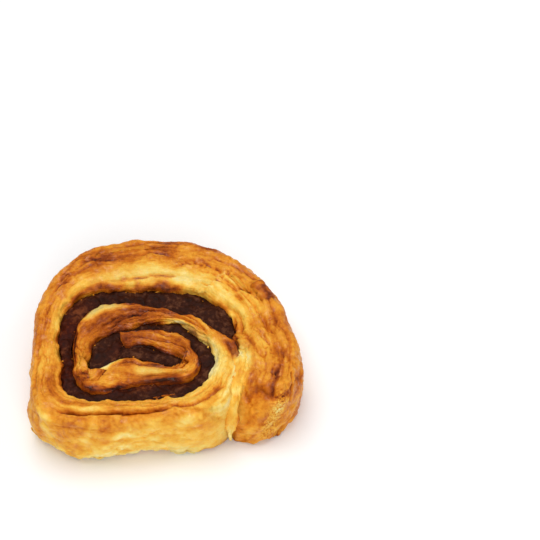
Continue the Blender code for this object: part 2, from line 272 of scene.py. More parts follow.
BROWNED = (  # turns, lane, amount (minus is paler), reach in turns, reach in lanes
    (0.25, 0.50, 0.21, 0.22, 0.90),
    (0.62, 0.50, 0.11, 0.16, 0.90),
    (1.01, 0.50, -0.10, 0.06, 0.60),
    (0.88, 0.50, 0.06, 0.14, 0.90),
    (1.20, 0.50, 0.23, 0.22, 0.90),
    (0.735, 0.60, -0.36, 0.035, 0.22),
    (0.30, 0.00, 0.20, 0.12, 0.16),
    (0.75, 0.98, 0.18, 0.16, 0.14),
    (0.85, 0.10, -0.28, 0.03, 0.16),
    (1.165, 0.86, -0.46, 0.050, 0.19),
    (1.10, 1.00, -0.30, 0.050, 0.10),
    (1.37, 0.10, -0.40, 0.05, 0.12),
    (1.56, 0.00, -0.44, 0.12, 0.22),
    (1.535, 0.78, 0.24, 0.028, 0.16),
    (1.61, 0.94, -0.34, 0.040, 0.18),
    (1.655, 1.05, -0.26, 0.025, 0.22),
    (1.65, 1.25, -0.14, 0.040, 0.34),
    (1.86, 0.82, -0.30, 0.05, 0.13),
    (1.75, 0.28, -0.08, 0.12, 0.20),
    (1.80, 1.26, 0.09, 0.14, 0.20),
    (1.79, 1.76, -0.22, 0.15, 0.28),
    (1.68, 1.60, -0.10, 0.05, 0.30),
    (1.95, 0.80, 0.04, 0.04, 0.50),
    (2.03, 0.10, -0.14, 0.08, 0.20),
    (2.04, 0.80, -0.06, 0.10, 0.30),
    (0.875, 0.25, -0.42, 0.022, 0.18),
    (2.56, 0.05, -0.16, 0.05, 0.20),
    (1.58, 0.60, -0.20, 0.05, 0.50),
    (1.57, 0.95, -0.16, 0.03, 0.20),
    (2.160, 0.03, 0.16, 0.030, 0.08),
    (2.182, 0.10, 0.26, 0.018, 0.09),
    (2.203, 0.02, 0.30, 0.014, 0.08),
    (2.278, 0.03, 0.26, 0.018, 0.06),
    (2.27, 0.28, -0.25, 0.12, 0.20),
    (2.235, 0.02, 0.16, 0.02, 0.07),
    (2.32, 0.02, 0.08, 0.02, 0.07),
    (2.31, 0.14, -0.12, 0.02, 0.10),
    (2.20, 0.82, 0.10, 0.20, 0.20),
    (2.42, 0.25, -0.12, 0.08, 0.30),
    (2.435, 1.05, 0.30, 0.012, 0.04),
    (2.58, 0.04, -0.40, 0.055, 0.16),
    (2.63, 0.40, -0.10, 0.02, 0.80),
    (2.55, 0.60, -0.01, 0.08, 0.35),
    (2.57, 1.45, -0.02, 0.06, 0.35),
    (2.30, 1.45, 0.03, 0.20, 0.50),
    (1.829, 1.34, -0.17, 0.007, 0.10),
    (1.780, 1.38, -0.17, 0.013, 0.07),
    (1.770, 1.55, -0.14, 0.010, 0.06),
    (1.793, 1.56, -0.14, 0.012, 0.06),
    (1.734, 1.30, -0.15, 0.019, 0.12),
    (1.712, 1.37, -0.12, 0.014, 0.10),
    (1.805, 1.62, -0.12, 0.020, 0.08),
    (1.885, 1.35, -0.10, 0.008, 0.12),
    (1.805, 1.18, 0.07, 0.030, 0.10),
    (1.847, 1.19, 0.06, 0.012, 0.10),
    (1.755, 1.20, 0.05, 0.015, 0.08),
    (2.20, 0.40, 0.18, 0.030, 0.18),
    (2.229, 0.10, -0.20, 0.018, 0.12),
    (2.232, 0.16, -0.14, 0.018, 0.14),
    (0.905, 0.80, 0.18, 0.030, 0.30),
    (0.800, 0.15, 0.14, 0.030, 0.18),
    (1.885, 0.80, 0.16, 0.025, 0.22),
    (1.965, 0.80, -0.10, 0.025, 0.26),
    (0.835, 0.95, -0.22, 0.020, 0.22),
    (1.530, 0.62, 0.12, 0.022, 0.22),
    (1.555, 0.70, 0.12, 0.018, 0.16),
    (2.475, 0.30, -0.10, 0.030, 0.20),
    (1.69, 0.45, -0.10, 0.035, 0.20),
    (2.495, 0.95, 0.10, 0.020, 0.14),
    (2.410, 0.76, -0.20, 0.035, 0.20),
    (2.550, 0.50, 0.10, 0.030, 0.20),
    (0.640, 0.98, -0.30, 0.035, 0.26),
    (1.690, 1.22, -0.14, 0.022, 0.12),
    (1.684, 1.50, 0.12, 0.022, 0.20),
    (1.818, 1.12, 0.10, 0.025, 0.10),
    (1.806, 1.42, -0.10, 0.025, 0.14),
    (0.720, 0.30, 0.16, 0.060, 0.14),
    (2.125, 0.40, 0.10, 0.020, 0.20),
)


def dough_section(turns):
    """Dense closed outline of the strip at one place: plan share, height, lane and weight."""
    inner, outer = dough_inner(turns), dough_outer(turns)
    width = max((outer - inner).length, NARROWEST)
    free = outside(turns)
    ending = smooth(TAIL_FROM, DOUGH_END, turns)
    shoulder = EDGE_ROUND + (min(SHOULDER, MOST_SHOULDER * width) - EDGE_ROUND) * free
    foot = EDGE_ROUND + (min(FOOT_DRAW, MOST_FOOT * width) - EDGE_ROUND) * free
    ridge = 1 - shoulder / width

    top_share = np.linspace(ridge, 0, DENSE_TOP)
    corners = [face_height(inner.lerp(outer, share)) for share in (0, 0.5 * ridge, ridge)]
    level = np.interp(top_share, (0, 0.5 * ridge, ridge), corners)
    across = 2 * top_share - 1
    edge = np.abs(across) ** DOME_SQUARENESS * np.where(across < 0, 1, 1 - free)
    top = (level + DOME * (1 - edge)) * (1 - TAIL_DROP * ending**2)

    middle = FULLEST * top[0]
    angle = np.linspace(math.pi / 2, 0, DENSE_WALL // 2, endpoint=False)
    low_share = 1 - foot * (1 - np.cos(angle) ** WALL_ACROSS) / width
    low = middle * (1 - np.sin(angle) ** WALL_UP)
    angle = np.linspace(0, math.pi / 2, DENSE_WALL // 2, endpoint=False)
    high_share = 1 - shoulder * (1 - np.cos(angle) ** WALL_ACROSS) / width
    high = middle + (top[0] - middle) * np.sin(angle) ** WALL_UP

    side = np.linspace(0, 1, DENSE_SIDE, endpoint=False)[1:]
    side_height = top[-1] * (1 - side) + EDGE_ROUND * side
    under = np.linspace(0, 1, DENSE_BOTTOM)
    inner_foot = min(EDGE_ROUND / width, MOST_FOOT)
    walls, beyond = low.size + high.size, DENSE_BOTTOM - 1
    share = np.concatenate((
        0.5 + (low_share[0] - 0.5) * under[:-1], low_share, high_share, top_share,
        np.zeros(side.size), [0.0], inner_foot + (0.5 - EDGE_ROUND / width) * under,
    ))
    height = np.concatenate((
        np.zeros(beyond), low, high, top,
        side_height, [EDGE_ROUND], np.zeros(DENSE_BOTTOM),
    ))
    lane = np.concatenate((
        np.linspace(UNDER_FOOT_LANE, 2, beyond, endpoint=False),
        np.linspace(2, 1, walls, endpoint=False), top_share / ridge,
        np.linspace(*SIDE_LANES, side.size), [CORNER_LANE], np.linspace(*UNDER_LANES, DENSE_BOTTOM),
    ))
    shown = np.concatenate((
        np.full(beyond, FOOT_WEIGHT), np.full(walls, WALL_WEIGHT + (1 - WALL_WEIGHT) * free),
        np.ones(DENSE_TOP),
        np.full(side.size, SIDE_WEIGHT), [CORNER_WEIGHT], np.full(DENSE_BOTTOM, UNDER_WEIGHT),
    ))
    return inner, outer, share, height, lane, shown


def walk(start, end, count, path):
    """count + 1 places in turns, evenly spaced along a path in plan."""
    turns = np.linspace(start, end, WALK_STEPS + 1)
    spots = np.array([path(t) for t in turns])
    run = np.concatenate(([0], np.cumsum(np.hypot(*np.diff(spots, axis=0).T))))
    even = np.linspace(0, run[-1], count + 1)
    return np.interp(even, run, turns), even


def resample(section, count):
    """count points round a section, closed, spread by how much of each stretch is seen."""
    inner, outer, share, height, lane, shown = section
    width = (outer - inner).length
    step = np.hypot(np.diff(share) * width, np.diff(height))
    run = np.concatenate(([0], np.cumsum(step * (shown[1:] + shown[:-1]) / 2)))
    even = np.linspace(0, run[-1], count + 1)
    share, height, lane = (np.interp(even, run, values) for values in (share, height, lane))
    plan = np.outer(1 - share, inner) + np.outer(share, outer)
    return np.column_stack((plan + SPIRAL_AT, height)), lane


def normals(points):
    """Outward unit normals of a grid of points, closed in its second direction."""
    along = np.gradient(points, axis=0)
    ring = points[:, :-1]
    round_ = np.roll(ring, -1, axis=1) - np.roll(ring, 1, axis=1)
    round_ = np.concatenate((round_, round_[:, :1]), axis=1)
    out = np.cross(round_, along)
    return out / np.maximum(np.linalg.norm(out, axis=2, keepdims=True), 1e-12)


def speckle(points, scale, seed):
    """Smooth noise at each point, with a scale per metre for each direction."""
    flat = (points.reshape(-1, 3) * np.array(scale) + seed).tolist()
    return np.array([noise.noise(Vector(spot)) for spot in flat]).reshape(points.shape[:-1])


def hump(offset, spread, power=2):
    """1 where the offset is 0, falling to 0 beside it, at every point of an array."""
    return np.exp(-((offset / spread) ** power))


def limited(share):
    """A share kept between 0 and 1."""
    return np.clip(share, 0, 1)


def patches(places, turns, lane):
    """Sum of soft patches on the strip, each the full amount at its own place."""
    total = np.zeros(lane.shape)
    for at, where, amount, reach, width in places:
        total += amount * np.exp(-(((turns - at) / reach) ** 4) - ((lane - where) / width) ** 2)
    return total


# Where the strip's edges lie a little away from their even run, mostly beside the filling
SHIFTED = (  # turns, lane, shift to the right and backwards in mm, reach in turns, in lanes
    (0.21, 1.0, (0.4, 1.9), 0.09, 0.50),
    (0.165, 0.0, (1.2, -0.8), 0.035, 0.60),
    (0.36, 0.0, (0.0, -0.8), 0.08, 0.50),
    (0.70, 0.0, (0.0, -0.8), 0.10, 0.50),
    (0.50, 0.0, (-2.2, -0.6), 0.05, 0.50),
    (0.950, 0.0, (-3.2, -3.7), 0.090, 0.46),
    (0.650, 0.0, (0.4, -1.4), 0.035, 0.45),
)
RAGGED, RAGGED_FINE = 1.1 * MM, 0.5 * MM
RIM_LANES, INNER_RIM_ENDS = 0.22, 2.5
PATH_SHARE = 0.6  # the strip is measured along a path that lies this far out on its top

dough_turns, dough_run = walk(
    DOUGH_START, DOUGH_END, ALONG, lambda t: dough_inner(t).lerp(dough_outer(t), PATH_SHARE)
)
rings = [resample(dough_section(t), ROUND) for t in dough_turns]
dough_points = np.array([ring[0] for ring in rings])
dough_lane = np.array([ring[1] for ring in rings])
dough_where = np.repeat(dough_turns[:, None], ROUND + 1, axis=1)
for at, where, shift, reach, width in SHIFTED:
    moved = patches(((at, where, MM, reach, width),), dough_where, dough_lane)
    dough_points[..., :2] += moved[..., None] * np.array(shift)
free = np.array([outside(t) for t in dough_turns])[:, None]
covered = 1 - free
sides = np.array([tuple(outwards(t)) for t in dough_turns])
inner_rim = hump(dough_lane, RIM_LANES) * (dough_where < INNER_RIM_ENDS)
outer_rim = hump(dough_lane - 1, RIM_LANES) * covered
rag = RAGGED * speckle(dough_points, (150, 150, 0), 31.7)
rag += RAGGED_FINE * speckle(dough_points, (420, 420, 0), 17.3)
dough_points[..., :2] += ((inner_rim + outer_rim) * rag)[..., None] * sides[:, None]
around = np.linalg.norm(np.diff(dough_points, axis=1), axis=2)
around = np.concatenate((np.zeros((ALONG + 1, 1)), np.cumsum(around, axis=1)), axis=1)
# Distance across the strip is counted from the top's inner edge, so that layers run true
inner_edge = np.argmin(np.abs(dough_lane), axis=1)
dough_across = around[np.arange(ALONG + 1), inner_edge][:, None] - around
dough_along = np.repeat(dough_run[:, None], ROUND + 1, axis=1)
strip = np.stack((dough_along, dough_across, np.zeros(around.shape)), axis=2)

# Layers and creases aren't straight: places on the strip wander before they are drawn
WANDER_ALONG, WANDER_ACROSS, WANDER_FINE = 1.5 * MM, 0.8 * MM, 0.35 * MM
LAYERS_WANDER, CREASE_ENDS, CREASE_LEAST = 1.6, 0.15, 0.15
wander = np.stack((
    WANDER_ALONG * speckle(strip, (160, 160, 0), 5.1),
    WANDER_ACROSS * speckle(strip, (90, 160, 0), 3.1)
    + WANDER_FINE * speckle(strip, (330, 400, 0), 6.3),
), axis=2)
bent = strip[..., :2] + wander
strip_bent = strip.copy()
strip_bent[..., :2] += LAYERS_WANDER * wander


def grooves(points, scale, seed, width):
    """1 along the thin winding lines where smooth noise passes 0, falling to 0 beside them."""
    return hump(speckle(points, scale, seed), width)


def strip_place(turns, lane):
    """Distance along and across the strip, for a place given in turns and lane."""
    row = int(np.searchsorted(dough_turns, turns))
    across = np.interp(lane, dough_lane[row, ::-1], dough_across[row, ::-1])
    return np.array((dough_run[row], across))


def crease(places, width):
    """How deep in a crease each point of the strip lies, from 0 to 1."""
    line = [strip_place(*place) for place in places]
    whole = sum(float(np.linalg.norm(end - start)) for start, end in zip(line, line[1:]))
    nearest, passed, into = np.ones(dough_lane.shape), 0.0, np.zeros(dough_lane.shape)
    for start, end in zip(line, line[1:]):
        step = end - start
        length = float(np.linalg.norm(step))
        share = limited(((bent - start) @ step) / length**2)
        away = np.linalg.norm(bent - (start + share[..., None] * step), axis=2)
        closer = away < nearest
        nearest = np.where(closer, away, nearest)
        into = np.where(closer, passed + share * length, into)
        passed += length
    ends = np.clip(np.minimum(into, whole - into) / (CREASE_ENDS * whole), CREASE_LEAST, 1)
    return ends * hump(nearest, width * (0.5 + 0.5 * ends))


# Where the strip shows the layers' edges, and where it shows its skin, each from 0 to 1
TAIL_END_FROM, TAIL_END_OVER = 2.59, 0.015  # turns over which the tail's end is all skin
TOP_ENDS, TOP_FADES, TOP_INNER_FADES = 1.18, 0.25, 0.15  # in lanes, as the skin's are
SKIN_FROM, SKIN_STARTS_OVER, SKIN_ENDS, SKIN_FADES, SKIN_INNER_FADES = 0.98, 0.2, 2.15, 0.15, 0.1
tail_end = limited((dough_where - TAIL_END_FROM) / TAIL_END_OVER)
on_top = limited((dough_lane + TOP_INNER_FADES) / TOP_INNER_FADES)
on_top = on_top * limited((TOP_ENDS - dough_lane) / TOP_FADES) * (1 - tail_end)
on_skin = limited((dough_lane - SKIN_FROM) / SKIN_STARTS_OVER + 5 * tail_end)
on_skin = on_skin * limited((SKIN_ENDS - dough_lane) / SKIN_FADES)
on_skin = on_skin * limited((dough_lane + SKIN_INNER_FADES) / SKIN_INNER_FADES) * free

# The top: rounded ridges of the layers, with sharp grooves between them
LAYERS_STAND_OUT, LAYERS_LEAST, LAYERS_MOST = 0.45, 0.03, 1.5
BROAD_GROOVE, THIN_GROOVE, HILL, PIMPLE = 0.9 * MM, 0.50 * MM, 0.7 * MM, 0.34 * MM
broad = grooves(strip_bent, (38, 330, 0), 7.7, 0.09)
thin = grooves(strip_bent, (80, 1000, 0), 1.3, 0.14)
layered = LAYERS_STAND_OUT + patches(LAYERED, dough_where, dough_lane)
strength = layered * (1.1 + 1.6 * speckle(strip, (90, 180, 0), 9.4))
strength = np.clip(strength, LAYERS_LEAST, LAYERS_MOST)
hills = speckle(dough_points, (130, 130, 130), 0.7)
pimples = speckle(dough_points, (520, 520, 520), 0.2)
grooved = strength * (BROAD_GROOVE * broad + THIN_GROOVE * thin)
relief = on_top * (HILL * hills + PIMPLE * pimples - grooved)


def bubbles(points, scale, size, seed):
    """Separate round domes, 1 at the top of each and 0 between them."""
    flat = (points.reshape(-1, 3) * scale + seed).tolist()
    nearest = np.array([noise.voronoi(Vector(spot))[0][0] for spot in flat])
    return limited(1 - (nearest.reshape(points.shape[:-1]) / size) ** 2)


# The skin: soft blisters, finer wrinkles, and long shallow steps where leaves of dough end
BLISTER, BLOB_LIFT, DOME_LIFT, WRINKLE, STEP = 1.0 * MM, 0.15 * MM, 0.55 * MM, 0.24 * MM, 0.30 * MM
DOMES_WANDER, SMALL_DOMES = 1.2 * MM, 0.6
CALM, CALM_AT, CALM_SPREAD = 0.6, 2.05, 0.11  # the left wall, where the skin is smoother
blisters = speckle(dough_points, (120, 120, 160), 2.2)
blobs = np.clip(speckle(dough_points, (210, 210, 260), 12.9) * 4, -1, 1)
wrinkles = grooves(dough_points, (280, 280, 380), 5.5, 0.10)
bent_skin = dough_points + DOMES_WANDER * np.stack((hills, pimples, blisters), axis=2)
patchy = limited(0.5 + 2.5 * speckle(dough_points, (75, 75, 110), 41.0))
small_domes = SMALL_DOMES * bubbles(bent_skin, 420, 0.5, 9.1)
domes = patchy * np.maximum(bubbles(bent_skin, 210, 0.55, 3.3), small_domes)
steps = grooves(strip_bent, (30, 190, 0), 4.9, 0.07)
steps *= limited(0.5 + 2 * speckle(dough_points, (90, 90, 90), 8.8))
risen = BLISTER * blisters + BLOB_LIFT * blobs + DOME_LIFT * domes
risen *= 1 - CALM * hump(dough_where - CALM_AT, CALM_SPREAD, 4)
relief += on_skin * (risen - WRINKLE * wrinkles - STEP * steps + PIMPLE * pimples)

relief += patches(BULGES, dough_where, dough_lane)
# Each crease is cut into the relief and darkened in colour: partly deeper browning, partly painted
# shade
crease_brown_and_shade = np.zeros(relief.shape)
for depth, width, darkening, places in CREASES:
    deep = crease(places, width * MM)
    relief -= depth * MM * deep
    crease_brown_and_shade = np.maximum(crease_brown_and_shade, darkening * deep)
# The dough's edge is ragged where it meets the filling, and its foot where it meets the tray
EDGE_RAGGED, FOOT_RAGGED, RAGGED_LANES, FOOT_AT = 0.9 * MM, 1.6 * MM, 0.10, 1.90
ENDS_FADE = 2 * MM
edges = hump(dough_lane, RAGGED_LANES) + hump(dough_lane - 1, RAGGED_LANES) * covered
relief += EDGE_RAGGED * edges * speckle(dough_points, (260, 260, 260), 7.1)
foot_zone = hump(dough_lane - FOOT_AT, RAGGED_LANES) * free
relief += FOOT_RAGGED * foot_zone * speckle(dough_points, (300, 300, 300), 6.1)
relief *= limited(np.minimum(dough_run, dough_run[-1] - dough_run) / ENDS_FADE)[:, None]
dough_points = dough_points + normals(dough_points) * relief[..., None]
dough_points[..., 2] = np.maximum(dough_points[..., 2], 0)

# Browning, from 0 for dough that is hardly baked to 1 for nearly burnt, with painted shade in
# the creases and grooves and painted light near the table added in. The places of patches
# wander too, so that none has a smooth edge.
TURNS_WANDER, LANES_WANDER = 0.010, 0.09
EVEN_BROWN, CLOUDS, SKIN_CALMER, BANDS = 0.50, 0.16, 0.09, 0.12
BROAD_DARK, THIN_DARK, LAYERS_PALE = 0.18, 0.12, 0.04
STEP_DARK, WRINKLE_DARK, SKIN_PALE, BLOB_PALE = 0.10, 0.06, 0.03, 0.08
FRONT_AT, FRONT_SPREAD = 1.78, 0.20
BLOTCH_PALE, FRONT_BLOTCH_PALE, DOME_PALE, FRONT_DOME_PALE = 0.05, 0.06, 0.08, 0.10
SHOULDER_DARK, TABLE_BOUNCE_PALE = 0.10, 0.20
STAIN_DARK, STAIN_LANES, STAIN_ENDS = 0.28, 0.07, 2.48
INSIDE_DARK, INSIDE_ENDS, INSIDE_FADES = 0.22, 1.50, 0.05
where_wander = TURNS_WANDER * speckle(dough_points, (260, 260, 260), 51.0)
where_bent = dough_where + where_wander * np.clip(dough_where - 1, 0.3, 1)
lane_bent = dough_lane + LANES_WANDER * speckle(dough_points, (260, 260, 260), 61.0)
browned_and_painted_light = EVEN_BROWN + patches(BROWNED, where_bent, lane_bent)
clouds = (CLOUDS - SKIN_CALMER * on_skin) * speckle(dough_points, (110, 110, 110), 1.9)
browned_and_painted_light += clouds + BANDS * speckle(strip_bent, (50, 260, 0), 6.6)
# Grooves between the layers, and wrinkles and steps in the skin, are darker: partly browning, partly
# painted shade
browned_and_painted_light += on_top * strength * (BROAD_DARK * broad + THIN_DARK * thin - LAYERS_PALE)
blobs_pale = BLOB_PALE * blobs * limited(dough_lane - 0.9)
browned_and_painted_light += on_skin * (STEP_DARK * steps + WRINKLE_DARK * wrinkles - SKIN_PALE - blobs_pale)
browned_and_painted_light += crease_brown_and_shade
blotches = limited(3 * speckle(dough_points, (170, 170, 230), 21.3) - 0.2)
blotches *= limited((dough_lane - 1.05) / 0.3)
on_front = hump(dough_where - FRONT_AT, FRONT_SPREAD, 4)
browned_and_painted_light -= (BLOTCH_PALE + FRONT_BLOTCH_PALE * on_front) * on_skin * blotches
browned_and_painted_light -= (DOME_PALE + FRONT_DOME_PALE * on_front) * on_skin * domes
# The sides and back are more evenly baked, darkest below the shoulder. Lower down they are paler
# with painted light, as bounced up from the white table, and so is the front's foot.
lower = limited((dough_lane - 1.3) / 0.7) ** 2
browned_and_painted_light += on_skin * (1 - on_front) * (SHOULDER_DARK - TABLE_BOUNCE_PALE * lower)
browned_and_painted_light += (SHOULDER_DARK - TABLE_BOUNCE_PALE * on_front) * foot_zone
# The rims beside the filling are stained by it, and the sides that face it are darker
stained = STAIN_DARK * limited(0.6 + 2 * speckle(dough_points, (120, 120, 0), 14.2))
browned_and_painted_light += stained * hump(dough_lane, STAIN_LANES) * (dough_where < STAIN_ENDS)
browned_and_painted_light += stained * hump(dough_lane - 1, STAIN_LANES) * covered
inside = limited((INSIDE_ENDS - dough_where) / INSIDE_FADES)
browned_and_painted_light += INSIDE_DARK * inside * limited((dough_lane - 0.97) / 0.04)

FLOURY = (  # turns, lane, amount, reach in turns, reach in lanes
    (2.598, 1.26, 0.85, 0.015, 0.12),
    (2.609, 1.38, 0.85, 0.015, 0.12),
    (2.616, 1.56, 0.70, 0.013, 0.14),
)
FLOUR_PALE = 0.16
floury = patches(FLOURY, dough_where, dough_lane)
browned_and_painted_light -= FLOUR_PALE * floury
RAW = (  # turns, lane, how pale and greenish the hardly baked dough is, reach in turns, in lanes
    (1.170, 0.90, 1.0, 0.040, 0.15),
    (2.265, 0.26, 0.3, 0.080, 0.14),
    (1.50, 0.00, 0.5, 0.080, 0.14),
    (1.575, 0.98, 0.5, 0.035, 0.20),
    (2.545, 0.03, 0.5, 0.035, 0.18),
    (1.40, 0.02, 0.6, 0.030, 0.10),
    (0.735, 0.60, 0.4, 0.035, 0.22),
)
raw = limited(patches(RAW, where_bent, lane_bent))


def finished(name, mesh):
    """Put a mesh that is done into the scene, as an object."""
    data = bpy.data.meshes.new(name)
    mesh.to_mesh(data)
    mesh.free()
    data.shade_smooth()
    piece = bpy.data.objects.new(name, data)
    bpy.context.scene.collection.objects.link(piece)
    return piece


def swept(name, points, values):
    """A closed piece through a grid of points, along the strip and round it, with its values."""
    count_along, count_round = points.shape[0] - 1, points.shape[1] - 1
    mesh = bmesh.new()
    uv = mesh.loops.layers.uv.new("strip")
    layers = {key: mesh.verts.layers.float.new(key) for key in values}
    bmesh.ops.create_grid(mesh, x_segments=count_along, y_segments=count_round, size=0.5)
    grid = {}
    for vertex in mesh.verts:
        row = round((vertex.co.x + 0.5) * count_along)
        column = round((vertex.co.y + 0.5) * count_round)
        grid[row, column] = vertex
        vertex.co = points[row, column]
        for key, layer in layers.items():
            vertex[layer] = values[key][row, column]
        for loop in vertex.link_loops:
            loop[uv].uv = (vertex[layers["run"]], vertex[layers["over"]])
    welds = {grid[row, count_round]: grid[row, 0] for row in range(count_along + 1)}
    bmesh.ops.weld_verts(mesh, targetmap=welds)
    bmesh.ops.holes_fill(mesh, edges=[edge for edge in mesh.edges if edge.is_boundary], sides=0)
    bmesh.ops.recalc_face_normals(mesh, faces=mesh.faces)
    return finished(name, mesh)


dough = swept("baked_dough", dough_points, {
    "run": dough_along, "over": dough_across,
    "browned_and_painted_light": browned_and_painted_light, "skin": on_skin, "floury": floury, "raw": raw,
})


def srgb(red, green, blue):
    """A colour given in screen values from 0 to 255, as the shader wants it."""
    shares = (value / 255 for value in (red, green, blue))
    return (*(s / 12.92 if s <= 0.04045 else ((s + 0.055) / 1.055) ** 2.4 for s in shares), 1)


def wire(tree, made, sockets):
    """Give a node's sockets their values, or link the outputs of other nodes to them."""
    for key, value in sockets.items():
        if isinstance(value, bpy.types.NodeSocket):
            tree.links.new(value, made.inputs[key])
        else:
            made.inputs[key].default_value = value


def node(tree, kind, sockets=None, **settings):
    """A new node with its settings, and its sockets given their values or links."""
    made = tree.nodes.new(kind)
    for key, value in settings.items():
        setattr(made, key, value)
    wire(tree, made, sockets or {})
    return made


def attribute(tree, name):
    return node(tree, "ShaderNodeAttribute", attribute_name=name).outputs["Fac"]


def noise_at(tree, scale, detail, roughness):
    """Noise from 0 to 1 on the piece's own coordinates."""
    place = node(tree, "ShaderNodeTexCoord").outputs["Object"]
    sockets = {"Scale": scale, "Detail": detail, "Roughness": roughness, "Vector": place}
    return node(tree, "ShaderNodeTexNoise", sockets).outputs["Fac"]


def toned(tree, share, stops):
    """A colour read from a row of stops, each a share and its colour."""
    made = node(tree, "ShaderNodeValToRGB", {"Fac": share})
    elements = made.color_ramp.elements
    elements[0].position, elements[0].color = stops[0]
    elements[1].position, elements[1].color = stops[-1]
    for position, colour in stops[1:-1]:
        elements.new(position).color = colour
    return made.outputs["Color"]


def ranged(tree, value, low, high, to_low, to_high):
    """A value carried over from the range low to high to another range."""
    sockets = {"Value": value, "From Min": low, "From Max": high, "To Min": to_low, "To Max": to_high}
    return node(tree, "ShaderNodeMapRange", sockets).outputs["Result"]


def bumped(tree, height, strength, distance):
    sockets = {"Strength": strength, "Distance": distance, "Height": height}
    return node(tree, "ShaderNodeBump", sockets).outputs["Normal"]


def new_material(name):
    material = bpy.data.materials.new(name)
    material.use_nodes = True
    return material, material.node_tree, material.node_tree.nodes["Principled BSDF"]


def streaks():
    """Node group: fine flaky streaks along the strip, as a value from 0 to 1."""
    group = bpy.data.node_groups.new("flaky streaks", "ShaderNodeTree")
    for name, value in (("Along", 60.0), ("Across", 900.0), ("Detail", 3.0)):
        made = group.interface.new_socket(name, in_out="INPUT", socket_type="NodeSocketFloat")
        made.default_value = value
    group.interface.new_socket("Streak", in_out="OUTPUT", socket_type="NodeSocketFloat")
    start = node(group, "NodeGroupInput").outputs
    uv = node(group, "ShaderNodeUVMap", uv_map="strip")
    scale = node(group, "ShaderNodeCombineXYZ", {"X": start["Along"], "Y": start["Across"]})
    factors = {0: uv.outputs["UV"], 1: scale.outputs["Vector"]}
    stretched = node(group, "ShaderNodeVectorMath", factors, operation="MULTIPLY")
    pattern = node(group, "ShaderNodeTexNoise", {
        "Scale": 1.0, "Roughness": 0.6, "Distortion": 0.6,
        "Vector": stretched.outputs["Vector"], "Detail": start["Detail"],
    })
    node(group, "NodeGroupOutput", {"Streak": pattern.outputs["Fac"]})
    return group


STREAKS = streaks()
CRUST = (  # share browned, colour
    (0.00, srgb(252, 234, 164)),
    (0.18, srgb(250, 214, 110)),
    (0.34, srgb(244, 186, 68)),
    (0.50, srgb(230, 150, 40)),
    (0.64, srgb(200, 108, 16)),
    (0.78, srgb(152, 68, 6)),
    (0.90, srgb(100, 36, 2)),
    (1.00, srgb(56, 18, 2)),
)
RAW_DOUGH = srgb(196, 174, 106)
# How far each pattern shifts the share browned, and how much it counts in the bumps
SKIN_STREAKS, BROAD_SHIFT, THIN_SHIFT, BLOTCH_SHIFT, MOTTLE_SHIFT = -0.8, 0.18, 0.20, 0.22, 0.30
FLOUR_SHIFT, FLOUR_BUMPS, MOTTLE_BUMPS = 1.5, 2.5, 1.5


def crust_material():
    """Crust: glazed and browned where it is baked, with streaks along its flaky layers."""
    material, tree, shader = new_material("glazed flaky crust")

    def streak(along, across):
        sockets = {"Along": along, "Across": across}
        return node(tree, "ShaderNodeGroup", sockets, node_tree=STREAKS).outputs["Streak"]

    def maths(operation, *values):
        sockets = dict(enumerate(values))
        return node(tree, "ShaderNodeMath", sockets, operation=operation).outputs["Value"]

    def shifted(source, amount, base):
        """base + amount * (source - 0.5)"""
        return maths("MULTIPLY_ADD", maths("SUBTRACT", source, 0.5), amount, base)

    flouriness = attribute(tree, "floury")
    streaks_here = maths("MULTIPLY_ADD", attribute(tree, "skin"), SKIN_STREAKS, 1.0)
    broad, thin = streak(80, 620), streak(210, 2100)
    blotch, mottle = noise_at(tree, 210, 3, 0.55), noise_at(tree, 700, 4, 0.6)
    flour = noise_at(tree, 1300, 3, 0.6)
    share = attribute(tree, "browned_and_painted_light")
    share = shifted(broad, maths("MULTIPLY", streaks_here, BROAD_SHIFT), share)
    share = shifted(thin, maths("MULTIPLY", streaks_here, THIN_SHIFT), share)
    share = shifted(blotch, BLOTCH_SHIFT, share)
    share = shifted(mottle, MOTTLE_SHIFT, share)
    share = shifted(flour, maths("MULTIPLY", flouriness, FLOUR_SHIFT), share)
    rawness = maths("MULTIPLY", attribute(tree, "raw"), maths("MULTIPLY_ADD", mottle, -1.2, 1.3))
    colours = {"Factor": rawness, 6: toned(tree, share, CRUST), 7: RAW_DOUGH}
    height = shifted(broad, streaks_here, maths("MULTIPLY", thin, streaks_here))
    height = shifted(mottle, MOTTLE_BUMPS, height)
    height = shifted(flour, maths("MULTIPLY", flouriness, FLOUR_BUMPS), height)
    wire(tree, shader, {
        "Base Color": node(tree, "ShaderNodeMix", colours, data_type="RGBA").outputs[2],
        "Roughness": ranged(tree, blotch, 0.3, 0.7, 0.30, 0.60),
        "Specular IOR Level": 0.14,
        "Coat Weight": ranged(tree, noise_at(tree, 330, 3, 0.55), 0.50, 0.68, 0, 0.55),
        "Coat Roughness": 0.22,
        "Subsurface Weight": 0.06,
        "Subsurface Radius": (1.0, 0.45, 0.2),
        "Subsurface Scale": 1.2 * MM,
        "Normal": bumped(tree, height, 0.75, 0.45 * MM),
    })
    return material


dough.data.materials.append(crust_material())
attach(dough, "root")
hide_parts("dough")

